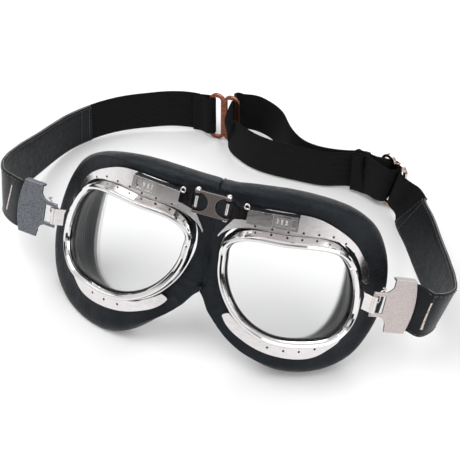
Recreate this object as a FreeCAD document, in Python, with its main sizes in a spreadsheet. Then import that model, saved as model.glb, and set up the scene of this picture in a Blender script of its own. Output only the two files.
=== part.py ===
import FreeCAD, Part
import math
import os

# Split-frame riding goggles with a leather mask and a leather and elastic head strap.
# Two frames are used. The goggles frame has its origin at the middle of the bridge
# link, +X to the wearer's left eye cup, +Y towards the face and +Z up the lens plane.
# The table frame is the part's own frame: the goggles lean back on their mask and the
# strap stands on its lower edge behind them.

V = FreeCAD.Vector
Rotation = FreeCAD.Rotation
Placement = FreeCAD.Placement
doc = FreeCAD.newDocument("goggles")

# ---------------------------------------------------------------- driving dimensions
DIMENSIONS = [
    ("lean_deg", 20.0), ("bridge_height", 99.1), ("shift_x", 5.5), ("shift_y", -96.5),
    ("eye_turn_deg", 16.0), ("eye_x", 8.5), ("eye_y", 5.0), ("eye_z", -14.0),
    ("lens_radius", 88.0), ("lens_mid", 39.0), ("lens_depth", 3.45), ("lens_thick", 1.4),
    ("plate_depth", 7.0), ("plate_thick", 0.8), ("vent_r", 0.65),
    ("pin_x", 8.3), ("pin_r", 0.8), ("pin_len", 12.6), ("head_r", 1.7),
    ("link_w", 16.6), ("link_h", 12.4), ("link_t", 1.4), ("link_bite_r", 5.4),
    ("knuckle_r", 1.6), ("knuckle_h", 1.3), ("pin_gap", 0.05),
    ("tongue_h", 5.2), ("tongue_t", 1.2), ("guide_len", 27.0), ("guide_h", 7.8),
    ("guide_front", 1.7), ("guide_play", 0.25), ("window_len", 11.0), ("window_h", 5.0),
    ("hinge_x", 92.3), ("hinge_y", 27.5), ("hinge_z", -41.0), ("bar_r", 1.0),
    ("barrel_r", 1.9), ("tab_h", 9.6), ("tab_t", 1.2),
    ("clip_t", 1.2), ("fork_h", 14.4), ("window_in", 6.3), ("neck_x", 9.6),
    ("clip_x", 21.5), ("clip_top", 14.5), ("clip_low", 16.0), ("clip_bow", 2.3),
    ("lip_w", 4.2), ("lip_t", 1.2), ("swing_left_deg", 10.0), ("swing_right_deg", 25.0),
    ("wire_r", 0.45), ("strap_w", 28.5), ("leather_t", 1.2), ("lining_t", 0.9),
    ("elastic_t", 1.5), ("ring_w", 12.5), ("ring_h", 36.0), ("ring_t", 2.2),
    ("slot_w", 7.4), ("slot_h", 31.0), ("ring_pitch", 10.6), ("slot_corner", 2.2),
    ("mask_depth", 28.0), ("nose_web_w", 3.8), ("nose_top", 8.4), ("nose_low", -54.0),
    ("nose_deep", 13.5), ("link_web_w", 4.4), ("slider_web_w", 3.2),
]
sheet = doc.addObject("Spreadsheet::Sheet", "dims")
for row, (alias, value) in enumerate(DIMENSIONS, start=1):
    sheet.set("A%d" % row, alias)
    sheet.set("B%d" % row, repr(value))
    sheet.setAlias("B%d" % row, alias)
doc.recompute()


def dim(alias):
    return float(sheet.get(alias))


# ---------------------------------------------------------------- placements
goggles_place = Placement(V(dim("shift_x"), dim("shift_y"), dim("bridge_height")),
                          Rotation(V(1, 0, 0), -dim("lean_deg")))
table_place = Placement(V(dim("shift_x"), dim("shift_y"), 0), Rotation())
eye_place = Placement(V(dim("eye_x"), dim("eye_y"), dim("eye_z")),
                      Rotation(V(0, 0, 1), dim("eye_turn_deg")))
nodes = []


def keep(obj, name, placement=None):
    """Make the object one of the goggles' named pieces."""
    if placement is not None:
        obj.Placement = placement
    obj.Label = name
    nodes.append((name, obj))
    return obj


def feature(name, shape, placement):
    obj = doc.addObject("Part::Feature", name)
    obj.Shape = shape
    return keep(obj, name, placement.multiply(shape.Placement))


def primitive(kind, name, sizes, placement=None):
    """A Part primitive whose sizes are read from the sheet by expression."""
    obj = doc.addObject(kind, name)
    for prop, expression in sizes.items():
        obj.setExpression(prop, expression)
    if placement is not None:
        obj.Placement = placement
    return obj


def fuse(name, objs):
    obj = doc.addObject("Part::MultiFuse", name)
    obj.Shapes = objs
    return obj


def cut(name, base, tools):
    tool = tools[0]
    if len(tools) > 1:
        tool = fuse(name + "_tools", tools)
    obj = doc.addObject("Part::Cut", name)
    obj.Base = base
    obj.Tool = tool
    return obj


def common(name, a, b):
    obj = doc.addObject("Part::MultiCommon", name)
    obj.Shapes = [a, b]
    return obj


def at(x, y, z, rotation=None):
    return Placement(V(x, y, z), rotation or Rotation())


along_y = Rotation(V(1, 0, 0), -90)


# ---------------------------------------------------------------- the eye surface
# Every eye part lies on cylinders about one vertical axis, so the lens can be a bent
# flat sheet. A point is (x across the lens, z up, depth behind the lens front).
RADIUS = dim("lens_radius")
MID = dim("lens_mid")
SAG = RADIUS - math.sqrt(RADIUS ** 2 - MID ** 2)


def on_eye(x, z, depth):
    angle = math.asin(max(-0.98, min(0.98, (x - MID) / RADIUS)))
    reach = RADIUS - depth
    return V(MID + reach * math.sin(angle), RADIUS - reach * math.cos(angle) - SAG, z)


def closed_curve(points):
    curve = Part.BSplineCurve()
    curve.interpolate([V(x, 0, z) for x, z in points], PeriodicFlag=True)
    return curve


def stations(curve, count):
    """Evenly spaced points of a closed outline with their outward normals."""
    length = curve.length()
    found = []
    for i in range(count):
        u = curve.parameterAtDistance(length * i / count, curve.FirstParameter)
        p = curve.value(u)
        t = curve.tangent(u)[0]
        found.append((p, V(-t.z, 0, t.x)))
    return found


def ring(curve, profile, count=48):
    """A closed ring with a fixed section. The profile lists (outward, depth)."""
    sections = []
    for p, n in stations(curve, count):
        corners = [on_eye(p.x + n.x * k, p.z + n.z * k, d) for k, d in profile]
        sections.append(Part.makePolygon(corners + [corners[0]]))
    return Part.makeLoft(sections, True, False, True)


def slab(wire_points, depth, thickness):
    """A sheet piece: an outline pushed through the shell between two cylinders."""
    curve = closed_curve(wire_points)
    face = Part.Face(Part.Wire([curve.toShape()]))
    block = face.extrude(V(0, 60, 0))
    block.translate(V(0, -30, 0))
    return block.common(shell(depth, thickness))


def shell(depth, thickness):
    axis = V(MID, RADIUS - SAG, -110)
    outer = Part.makeCylinder(RADIUS - depth, 160, axis)
    inner = Part.makeCylinder(RADIUS - depth - thickness, 160, axis)
    return outer.cut(inner)


def mirrored_pair(name, shape, fix=None):
    """The right-hand piece and its mirror image, both in the goggles frame."""
    right = shape.copy()
    right.Placement = eye_place.multiply(right.Placement)
    if fix is not None:
        right = fix(right)
    left = right.mirror(V(0, 0, 0), V(1, 0, 0))
    feature(name + "_right", right, goggles_place)
    feature(name + "_left", left, goggles_place)


# outer edge of the rim's rounded lip, clockwise from the nose
RIM = [(-0.6, -14), (1.6, -5.5), (9.4, -0.1), (28.7, 2.0), (50.5, 3.1), (65, 0),
       (75.5, -12), (80.6, -27), (79.8, -43.5), (71.5, -53.2), (56.5, -56.8),
       (36.7, -57), (20, -51), (7.2, -39), (0.5, -23.5)]
rim_curve = closed_curve(RIM)


def offset_points(curve, distance, count=40):
    return [(p.x + n.x * distance, p.z + n.z * distance)
            for p, n in stations(curve, count)]


# ---------------------------------------------------------------- rims, lenses, seats
rim_profile = [(-3.1, 2.9), (-2.9, 1.6), (-2.2, 0.6), (-1.2, 0.1), (-0.2, 0.5),
               (0.5, 1.5), (0.8, 3.0), (1.3, 5.2), (2.2, 8.2), (1.3, 8.2),
               (0.4, 5.4), (-0.2, 3.0), (-1.6, 2.9)]
mirrored_pair("rim", ring(rim_curve, rim_profile))

lens_reach = (RADIUS - dim("lens_depth") - dim("lens_thick") / 2) / RADIUS
lens_outline = [(MID + (x - MID) * lens_reach, z)
                for x, z in offset_points(rim_curve, -1.3)]
lens = slab(lens_outline, dim("lens_depth"), dim("lens_thick"))
mirrored_pair("lens", lens)

seat_profile = [(-3.4, 5.1), (-0.7, 5.1), (-0.3, 6.4), (-2.2, 6.9), (-3.4, 6.4)]
mirrored_pair("lens_seat", ring(rim_curve, seat_profile))

liner_profile = [(-2.0, 7.4), (0.6, 7.4), (0.8, 9.2), (2.2, 14.6), (1.1, 14.6), (-0.9, 9.0)]
mirrored_pair("cup_liner", ring(rim_curve, liner_profile))

# ---------------------------------------------------------------- vented plates
TOP_PLATE = [(-1.9, -6.2), (0.3, -1.6), (3.6, 4.2), (8.2, 10.6), (13.5, 14.2), (24, 16.2),
             (36, 16.6), (47, 15.6), (58, 11.4), (66.5, 6.4), (73.5, 0.2), (79.5, -7.5),
             (84.5, -16.5), (84.2, -21.5), (81.2, -20), (76, -13), (66, -1.5), (50, 2.2),
             (28, 1.0), (9.4, -1.1), (3.0, -4.4), (0.2, -7.2), (-1.0, -7.6)]
TOP_VENTS = [(13.4, 5.0), (23.0, 5.5), (32.2, 5.8), (40.8, 6.8), (49.9, 7.0), (58.8, 6.6),
             (67.3, 3.2), (74.0, -2.6), (79.2, -9.6)]
LOW_PLATE = [(8.8, -50.6), (13.4, -56.2), (21.2, -60.9), (31, -64.8), (42, -66.9),
             (54, -67.3), (64.5, -65.0), (71.8, -60.2), (76.6, -53.8), (75.5, -50.5),
             (71.5, -54), (56.5, -58.4), (36.7, -58.5), (20, -53.0), (11.8, -47.8)]
LOW_VENTS = [(35.5, -62.2), (45.4, -62.9), (55.0, -62.6), (64.5, -60.6)]


def vent_tool(x, z):
    centre = on_eye(x, z, 0)
    axis_point = V(MID, RADIUS - SAG, z)
    return Part.makeCylinder(dim("vent_r"), 20, centre, axis_point - centre)


def vented_plate(outline, vents):
    plate = slab(outline, dim("plate_depth"), dim("plate_thick"))
    rim_body = slab(offset_points(rim_curve, 2.05), dim("plate_depth") - 1,
                    dim("plate_thick") + 2)
    plate = plate.cut(rim_body)
    for x, z in vents:
        plate = plate.cut(vent_tool(x, z))
    return max(plate.Solids, key=lambda s: s.Volume)


mirrored_pair("top_plate", vented_plate(TOP_PLATE, TOP_VENTS))
mirrored_pair("bottom_plate", vented_plate(LOW_PLATE, LOW_VENTS))

# ---------------------------------------------------------------- bridge link and pins
half_pitch = dim("pin_x")
plate_w = primitive("Part::Box", "link_blank", {
    "Length": "dims.link_w", "Width": "dims.link_t", "Height": "dims.link_h",
    "Placement.Base.x": "-dims.link_w / 2", "Placement.Base.y": "-dims.link_t / 2",
    "Placement.Base.z": "-dims.link_h / 2"})
bites = []
for side in (-1, 1):
    bite = primitive("Part::Cylinder", "link_bite_%d" % (side + 1), {
        "Radius": "dims.link_bite_r", "Height": "dims.link_t * 3",
        "Placement.Base.x": "%d * (dims.link_bite_r + 1.9)" % side},
        at(0, -dim("link_t") * 1.5, 0, along_y))
    bites.append(bite)
link_web = cut("link_web", plate_w, bites)
link_parts = [link_web]
link_bores = []
for side in (-1, 1):
    link_bores.append(primitive("Part::Cylinder", "link_bore_%d" % (side + 1), {
        "Radius": "dims.pin_r + 0.02", "Height": "dims.link_h * 2",
        "Placement.Base.x": "%d * dims.pin_x" % side,
        "Placement.Base.z": "-dims.link_h"}))
    for end in (-1, 1):
        link_parts.append(primitive(
            "Part::Cylinder", "link_knuckle_%d%d" % (side + 1, end + 1), {
                "Radius": "dims.knuckle_r", "Height": "dims.knuckle_h",
                "Placement.Base.x": "%d * dims.pin_x" % side,
                "Placement.Base.z": "%d * (dims.link_h - dims.knuckle_h) / 2"
                                    " - dims.knuckle_h / 2" % end}))
middle_slots = []
for side in (-1, 1):
    middle_slots.append(primitive("Part::Box", "link_slot_%d" % (side + 1), {
        "Length": "dims.knuckle_r * 2 + 0.8", "Width": "dims.link_t * 4",
        "Height": "dims.link_h - 2 * dims.knuckle_h",
        "Placement.Base.x": "%d * dims.pin_x - dims.knuckle_r - 0.4" % side,
        "Placement.Base.y": "-dims.link_t * 2",
        "Placement.Base.z": "-(dims.link_h - 2 * dims.knuckle_h) / 2"}))
link_body = fuse("link_body", link_parts)
keep(cut("bridge_link_shape", link_body, link_bores + middle_slots), "bridge_link",
     goggles_place)

pin_parts = []
for side in (-1, 1):
    pin_parts.append(primitive("Part::Cylinder", "pin_shank_%d" % (side + 1), {
        "Radius": "dims.pin_r", "Height": "dims.pin_len",
        "Placement.Base.x": "%d * dims.pin_x" % side,
        "Placement.Base.z": "-dims.pin_len / 2"}))
    head = primitive("Part::Sphere", "pin_head_%d" % (side + 1), {
        "Radius": "dims.head_r", "Angle1": "0",
        "Placement.Base.x": "%d * dims.pin_x" % side,
        "Placement.Base.z": "dims.link_h / 2 + 0.05"})
    pin_parts.append(head)
    pin_parts.append(primitive("Part::Cylinder", "pin_foot_%d" % (side + 1), {
        "Radius": "dims.head_r * 0.75", "Height": "0.5",
        "Placement.Base.x": "%d * dims.pin_x" % side,
        "Placement.Base.z": "-dims.link_h / 2 - 0.55"}))
keep(fuse("bridge_pins_shape", pin_parts), "bridge_pins", goggles_place)

# ---------------------------------------------------------------- guides and tongues
# The guide runs outward over the top plate. Its mouth and its direction are given in
# the goggles frame, and the tongue's straight stretch lies along the same line.
guide_mouth = V(18.4, 6.4, -2.7)
guide_run = V(26.4, 2.2, 1.5).normalize()
guide_turn = Rotation(guide_run, V(0, 0, 0), V(0, 0, 1), "XZY")
guide_place = Placement(guide_mouth, guide_turn)


def box(x, y, z, dx, dy, dz):
    return Part.makeBox(dx, dy, dz, V(x, y, z))


def guide_cover():
    """A raised housing with an open window over the outer end of the tongue."""
    length = dim("guide_len")
    tall = dim("guide_h")
    front = dim("guide_front")
    play = dim("guide_play")
    room_t = dim("tongue_t") + 2 * play
    room_h = dim("tongue_h") + 2 * play
    body = box(0, -front, -tall / 2, length, front + 7, tall)
    body = body.fuse(box(0, -front - 0.5, -tall / 2, length * 0.5, 1.0, tall))
    body = body.cut(box(-1, -room_t / 2, -room_h / 2, length + 2, room_t, room_h))
    window = dim("window_len")
    body = body.cut(box(length - window - 1.2, -front - 2, -dim("window_h") / 2,
                        window, front + 2, dim("window_h")))
    ear = Part.makeTorus(1.3, 0.45, V(-0.9, -0.6, tall / 2 + 0.9), V(0, 1, 0))
    body = body.fuse(ear)
    body.Placement = guide_place
    return body


def behind_plate():
    """Everything from the plate's front face backwards, in the goggles frame."""
    core = Part.makeCylinder(RADIUS - dim("plate_depth") + 0.02, 160,
                             V(MID, RADIUS - SAG, -110))
    core.Placement = eye_place
    return core


cover = guide_cover().cut(behind_plate())
rim_clear = slab(offset_points(rim_curve, 1.9), -2, 12)
rim_clear.Placement = eye_place
cover = cover.cut(rim_clear)
cover = max(cover.Solids, key=lambda s: s.Volume)
feature("guide_cover_right", cover, goggles_place)
feature("guide_cover_left", cover.mirror(V(0, 0, 0), V(1, 0, 0)), goggles_place)


def bent_strip(path, thickness):
    """A tall strip of even thickness that follows a path in plan."""
    front = []
    back = []
    for i, point in enumerate(path):
        before = path[max(i - 1, 0)]
        after = path[min(i + 1, len(path) - 1)]
        first = (point - before) if i > 0 else (after - point)
        second = (after - point) if i < len(path) - 1 else first
        first.normalize()
        second.normalize()
        middle = (first + second).normalize()
        side = V(-middle.y, middle.x, 0)
        half = thickness / 2 / side.dot(V(-first.y, first.x, 0))
        front.append(point - side * half)
        back.append(point + side * half)
    loop = front + back[::-1] + [front[0]]
    solid = Part.Face(Part.makePolygon(loop)).extrude(V(0, 0, 40))
    solid.translate(V(0, 0, -20))
    return solid


def tongue():
    """A bent strip from the pin to the guide, forked round the pin at its inner end."""
    t = dim("tongue_t")
    h = dim("tongue_h")
    end = guide_mouth + guide_run * (dim("guide_len") - 3.4)
    mouth = guide_mouth - guide_run * 2.4
    path = [V(half_pitch, 0, 0), V(half_pitch + 2.6, 1.1, 0), V(14.0, 4.9, 0),
            V(mouth.x, mouth.y, 0), V(end.x, end.y, 0)]
    strip_solid = bent_strip(path, t)
    ear_h = dim("link_h") / 2 - dim("knuckle_h") - 0.15
    half = h / 2
    mouth_z = guide_mouth.z
    slope = guide_run.z / guide_run.x

    def rail(x, up):
        return V(x, -20, mouth_z + slope * (x - guide_mouth.x) + up * half)

    upper = [V(half_pitch, -20, ear_h), V(10.6, -20, ear_h), V(12.4, -20, 1.9),
             rail(14.6, 1), rail(end.x - 0.6, 1), rail(end.x, 0.7)]
    lower = [rail(end.x, -0.7), rail(end.x - 0.6, -1), rail(14.6, -1),
             V(12.4, -20, -5.0), V(10.8, -20, -ear_h), V(half_pitch, -20, -ear_h)]
    outline = Part.Face(Part.makePolygon(upper + lower + [upper[0]]))
    body = strip_solid.common(outline.extrude(V(0, 60, 0)))
    knuckle_h = dim("knuckle_h")
    for low in (ear_h - knuckle_h, -ear_h):
        body = body.fuse(Part.makeCylinder(dim("knuckle_r"), knuckle_h,
                                           V(half_pitch, 0, low)))
    gap_h = 2 * (ear_h - knuckle_h)
    body = body.cut(Part.makeCylinder(2.6, gap_h, V(half_pitch, 0, -gap_h / 2)))
    body = body.cut(Part.makeCylinder(dim("pin_r") + dim("pin_gap"), 20,
                                      V(half_pitch, 0, -10)))
    for k in range(3):
        grip = guide_mouth + guide_run * (dim("guide_len") - 11.2 + 2.4 * k)
        rib = Part.makeCylinder(0.45, 2.6, V(0, 0, -1.3))
        rib.Placement = Placement(grip + V(0, -t / 2, 0), guide_turn)
        body = body.fuse(rib)
    return body.removeSplitter()


tongue_shape = tongue()
feature("tongue_right", tongue_shape, goggles_place)
feature("tongue_left", tongue_shape.mirror(V(0, 0, 0), V(1, 0, 0)), goggles_place)


# ---------------------------------------------------------------- hinge tabs and clips
def hinge_tab():
    """A short strap off the rim's side, rolled round the clip's bar."""
    axis = V(dim("hinge_x"), dim("hinge_y"), dim("hinge_z"))
    tall = dim("tab_h")
    root = eye_place.multVec(on_eye(80.9, 0, 4.2))
    reach = V(root.x - axis.x, root.y - axis.y, 0)
    length = reach.Length + 1.2
    turn = math.degrees(math.atan2(reach.y, reach.x))
    strip = Part.makeBox(length, dim("tab_t"), tall, V(0, 0.6, -tall / 2))
    strip.Placement = Placement(axis, Rotation(V(0, 0, 1), turn))
    roll = Part.makeCylinder(dim("barrel_r"), tall, axis - V(0, 0, tall / 2))
    body = strip.fuse(roll)
    bore = Part.makeCylinder(dim("bar_r") + dim("pin_gap"), tall * 2, axis - V(0, 0, tall))
    rim_zone = slab(offset_points(rim_curve, 1.35), -1, 14)
    rim_zone.Placement = eye_place
    return body.cut(bore).cut(rim_zone).removeSplitter()


tab = hinge_tab()
tab = max(tab.Solids, key=lambda s: s.Volume)
feature("hinge_tab_right", tab, goggles_place)
feature("hinge_tab_left", tab.mirror(V(0, 0, 0), V(1, 0, 0)), goggles_place)


def clip_frame(side):
    """Where a clip sits: its origin on the hinge bar, +X or -X out along the plate."""
    swing = dim("swing_right_deg") if side > 0 else -dim("swing_left_deg")
    place = Placement(V(side * dim("hinge_x"), dim("hinge_y"), dim("hinge_z")),
                      Rotation(V(0, 0, 1), swing))
    return goggles_place.multiply(place)


def line(sketch, x1, z1, x2, z2):
    sketch.addGeometry(Part.LineSegment(V(x1, z1, 0), V(x2, z2, 0)), False)


def arc(sketch, p, q, r):
    sketch.addGeometry(Part.Arc(V(p[0], p[1], 0), V(q[0], q[1], 0), V(r[0], r[1], 0)),
                       False)


def front_body(name, draw, thickness, offset):
    """A body padded from a sketch on its own XZ plane, towards +Y."""
    body = doc.addObject("PartDesign::Body", name)
    sketch = body.newObject("Sketcher::SketchObject", name + "_sketch")
    plane = [f for f in body.Origin.OriginFeatures if f.Role == "XZ_Plane"][0]
    sketch.AttachmentSupport = (plane, [""])
    sketch.MapMode = "FlatFace"
    sketch.AttachmentOffset = Placement(V(0, 0, offset), Rotation())
    draw(sketch)
    pad = body.newObject("PartDesign::Pad", name + "_pad")
    pad.Profile = sketch
    pad.setExpression("Length", thickness)
    pad.Midplane = True
    body.Tip = pad
    return body


def clip_outline(side):
    neck = dim("neck_x")
    out = dim("clip_x")
    top = dim("clip_top")
    low = dim("clip_low")
    fork = dim("fork_h") / 2
    bow = dim("clip_bow")
    bar = dim("bar_r")
    inner = fork - 2.0

    def draw(sketch):
        def s(x):
            return side * x
        line(sketch, s(neck), top, s(out), top)
        arc(sketch, (s(out), top), (s(out + bow), -1.0), (s(out), -low))
        line(sketch, s(out), -low, s(neck + 0.4), -low)
        line(sketch, s(neck + 0.4), -low, s(neck), -low + 4.4)
        arc(sketch, (s(neck), -low + 4.4), (s(neck - 1.6), -fork - 1.6),
            (s(neck - 4.6), -fork))
        line(sketch, s(neck - 4.6), -fork, s(-bar), -fork)
        line(sketch, s(-bar), -fork, s(-bar), -inner)
        line(sketch, s(-bar), -inner, s(dim("window_in")), -inner)
        line(sketch, s(dim("window_in")), -inner, s(dim("window_in")), inner)
        line(sketch, s(dim("window_in")), inner, s(-bar), inner)
        line(sketch, s(-bar), inner, s(-bar), fork)
        line(sketch, s(-bar), fork, s(neck - 4.6), fork)
        arc(sketch, (s(neck - 4.6), fork), (s(neck - 1.6), fork + 1.5),
            (s(neck), fork + 3.9))
        line(sketch, s(neck), fork + 3.9, s(neck), top)
    return draw


def clip(side, name):
    plate = front_body("clip_blank_" + name, clip_outline(side), "dims.clip_t", 0)
    bar = primitive("Part::Cylinder", "clip_bar_" + name, {
        "Radius": "dims.bar_r", "Height": "dims.fork_h - 0.4",
        "Placement.Base.z": "-dims.fork_h / 2 + 0.2"})
    start = "dims.neck_x" if side > 0 else "-dims.clip_x"
    lip = primitive("Part::Box", "clip_lip_" + name, {
        "Length": "dims.clip_x - dims.neck_x", "Width": "dims.lip_w",
        "Height": "dims.lip_t", "Placement.Base.x": start,
        "Placement.Base.y": "-dims.clip_t / 2", "Placement.Base.z": "dims.clip_top"})
    keep(fuse("clip_shape_" + name, [plate, bar, lip]), "clip_plate_" + name,
         clip_frame(side))
    path = [V(side * 3.6, 1.2, 9.4), V(side * 5.4, 1.4, 8.6), V(side * 3.8, 1.4, 7.4),
            V(side * 3.6, 1.4, 2.0), V(side * 2.9, 1.4, 0.6), V(side * 1.9, 1.4, 0.9)]
    curve = Part.BSplineCurve()
    curve.interpolate(path)
    start_dir = curve.tangent(curve.FirstParameter)[0]
    circle = Part.Wire([Part.Circle(path[0], start_dir, dim("wire_r")).toShape()])
    wire = Part.Wire([curve.toShape()]).makePipeShell([circle], True, True)
    feature("clip_wire_" + name, wire, clip_frame(side))


clip(1, "right")
clip(-1, "left")


# ---------------------------------------------------------------- straps
def band(stops, thickness, inset, step, part):
    """A strap lofted through upright rectangles.

    Each stop is the middle of the lower edge and the direction of the strap's width.
    inset moves the band sideways, to the left of its direction of travel, step is the
    largest distance between two sections, and part picks the stops that are used, so
    two bands sewn end to end can share one path with a hair's gap between them.
    """
    knots = [0.0]
    for before, after in zip(stops, stops[1:]):
        knots.append(knots[-1] + (after[0] - before[0]).Length ** 0.75)
    path = Part.BSplineCurve()
    path.interpolate(Points=[stop[0] for stop in stops], Parameters=knots)
    first, last = part
    start = 0.03 if first > 0 else 0.0
    width = dim("strap_w")
    sections = []
    for i in range(first, last):
        span = path.length(knots[i], knots[i + 1])
        parts = max(1, math.ceil(span / step))
        for j in range(parts + (i == last - 1)):
            f = max(j / parts, start if i == first else 0.0)
            u = knots[i] + (knots[i + 1] - knots[i]) * f
            up = stops[i][1] * (1 - f) + stops[i + 1][1] * f
            run = path.tangent(u)[0]
            up = (up - run * up.dot(run)).normalize()
            side = up.cross(run).normalize()
            low = path.value(u) + side * inset
            a = low - side * (thickness / 2)
            b = low + side * (thickness / 2)
            sections.append(Part.makePolygon([a, b, b + up * width, a + up * width, a]))
    return Part.makeLoft(sections, True, True)


def clip_point(side, x, y, z):
    """A point of the clip frame, in the table frame before the origin's shift."""
    place = table_place.inverse().multiply(clip_frame(side))
    return place.multVec(V(side * x, y, z))


def clip_up(side):
    return clip_frame(side).Rotation.multVec(V(0, 0, 1))


leather_back = 1.15 + dim("leather_t") / 2
start_z = -15.0


def strap_start(side):
    return [(clip_point(side, x, leather_back, start_z), clip_up(side))
            for x in (11.0, 15.0, 19.0, 23.0)]


left_leather = strap_start(-1) + [
    (V(-124.0, 18.0, 32.6), V(-0.02, 0.30, 0.95)),
    (V(-130.2, 25.0, 30.4), V(-0.08, 0.22, 0.97)),
    (V(-134.4, 35.3, 26.8), V(-0.14, 0.16, 0.98)),
    (V(-137.6, 51.2, 20.4), V(-0.18, 0.12, 0.98)),
    (V(-139.6, 72.4, 12.8), V(-0.17, 0.08, 0.98)),
    (V(-139.6, 95.6, 6.4), V(-0.12, 0.03, 0.99)),
    (V(-137.0, 118.6, 3.0), V(-0.09, 0.0, 0.99)),
    (V(-132.0, 136.6, 1.6), V(-0.09, -0.03, 0.99)),
    (V(-124.5, 150.6, 1.2), V(-0.11, -0.04, 0.99)),
]
right_leather = strap_start(1) + [
    (V(118.8, 16.0, 32.4), V(0.03, 0.28, 0.96)),
    (V(124.6, 21.6, 30.2), V(0.12, 0.20, 0.97)),
    (V(128.0, 31.1, 26.9), V(0.17, 0.13, 0.97)),
    (V(128.0, 43.8, 22.2), V(0.20, 0.08, 0.97)),
    (V(124.8, 62.9, 15.4), V(0.25, 0.03, 0.96)),
    (V(119.0, 84.1, 9.0), V(0.34, -0.02, 0.94)),
    (V(111.0, 107.6, 4.0), V(0.44, -0.08, 0.90)),
    (V(102.2, 129.6, 1.8), V(0.53, -0.12, 0.84)),
    (V(94.4, 147.6, 1.4), V(0.57, -0.16, 0.80)),
]


# ---------------------------------------------------------------- buckles
def turned(centre, run, up):
    """A frame at centre with X along run and Z along up."""
    side = up.cross(run).normalize()
    return Placement(centre, Rotation(run, side, up, "ZXY"))


def buckle_outline(sketch, web):
    """Two upright rings side by side, joined in one web, with a slot in each."""
    r = dim("ring_w") / 2
    c = dim("ring_pitch") / 2
    low = dim("ring_h") / 2 - r
    crotch = low + math.sqrt(r * r - c * c)
    peak = low + r
    for up in (1, -1):
        arc(sketch, (-c - r, up * low), (-c, up * peak), (0, up * crotch))
        arc(sketch, (0, up * crotch), (c, up * peak), (c + r, up * low))
    line(sketch, -c - r, -low, -c - r, low)
    line(sketch, c + r, -low, c + r, low)
    far = c + dim("slot_w") / 2
    for side in (-1, 1):
        rounded_slot(sketch, side * (far + web / 2) / 2, far - web / 2)


def rounded_slot(sketch, centre, width):
    half_w = width / 2
    half_h = dim("slot_h") / 2
    k = dim("slot_corner")
    bend = k * (1 - math.sqrt(0.5))
    for sx in (-1, 1):
        x = centre + sx * half_w
        line(sketch, x, -half_h + k, x, half_h - k)
        for sz in (-1, 1):
            z = sz * half_h
            arc(sketch, (x, z - sz * k), (x - sx * bend, z - sz * bend), (x - sx * k, z))
    for z in (-half_h, half_h):
        line(sketch, centre - half_w + k, z, centre + half_w - k, z)


def buckle(name, frame, web):
    body = front_body(name + "_body", lambda sketch: buckle_outline(sketch, web),
                      "dims.ring_t", 0)
    keep(body, name, table_place.multiply(frame))


link_frame = turned(V(-40.2, 191.6, 18.7), V(0.995, -0.10, 0), V(-0.12, 0.05, 0.99))
slider_frame = turned(V(83.0, 167.6, 18.7), V(0.80, -0.60, 0), V(0.10, -0.04, 0.99))
buckle("link_buckle", link_frame, dim("link_web_w"))
buckle("slider_buckle", slider_frame, dim("slider_web_w"))

# ---------------------------------------------------------------- elastic webbing
BUCKLE_LOW = -14.25
UP_LINK = link_frame.Rotation.multVec(V(0, 0, 1))
UP_SLIDER = slider_frame.Rotation.multVec(V(0, 0, 1))
UPRIGHT = V(0, 0, 1)


def near(frame, up, points):
    return [(frame.multVec(V(t, n, BUCKLE_LOW)), up) for t, n in points]


bar_wrap = [(-21.0, 1.4), (-15.5, 2.1), (-12.4, 2.6), (-9.8, 2.5), (-7.8, 1.5),
            (-7.1, 0.0), (-7.8, -1.5), (-9.8, -2.5), (-12.4, -2.5), (-16.0, -0.9),
            (-23.5, -0.9)]
left_run = left_leather + [
    (V(-117.0, 160.1, 1.6), V(-0.11, -0.03, 0.99)),
    (V(-105.0, 171.1, 2.0), V(-0.11, 0.0, 0.99)),
    (V(-90.0, 181.1, 2.4), V(-0.12, 0.02, 0.99)),
    (V(-75.0, 188.6, 3.0), V(-0.12, 0.04, 0.99)),
] + near(link_frame, UP_LINK, bar_wrap)

right_run = right_leather + [
    (V(92.6, 155.6, 2.2), V(0.40, -0.12, 0.91)),
] + near(slider_frame, UP_SLIDER, [
    (10.9, -3.1), (8.0, -2.2), (5.8, 0.2), (3.4, 3.2), (0.0, 4.2), (-3.4, 3.2),
    (-5.8, 0.2), (-8.0, -2.2)]) + [
    (V(72.4, 171.7, 4.4), UP_SLIDER), (V(65.8, 174.6, 3.2), UPRIGHT),
    (V(55.0, 174.2, 2.0), UPRIGHT), (V(38.0, 170.8, 1.4), UPRIGHT),
    (V(22.0, 172.6, 1.2), UPRIGHT), (V(12.4, 179.6, 1.4), UPRIGHT),
    (V(5.4, 189.6, 1.2), UPRIGHT), (V(-0.6, 199.6, 1.2), UPRIGHT),
    (V(-8.6, 206.6, 1.2), V(-0.04, 0.02, 1.0)),
    (V(-18.0, 209.2, 1.6), V(-0.08, 0.03, 0.99)),
    (V(-27.0, 207.2, 2.4), V(-0.10, 0.04, 0.99)),
    (V(-32.8, 201.6, 3.2), UP_LINK),
]
turn_at = len(right_run) - 1
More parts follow.
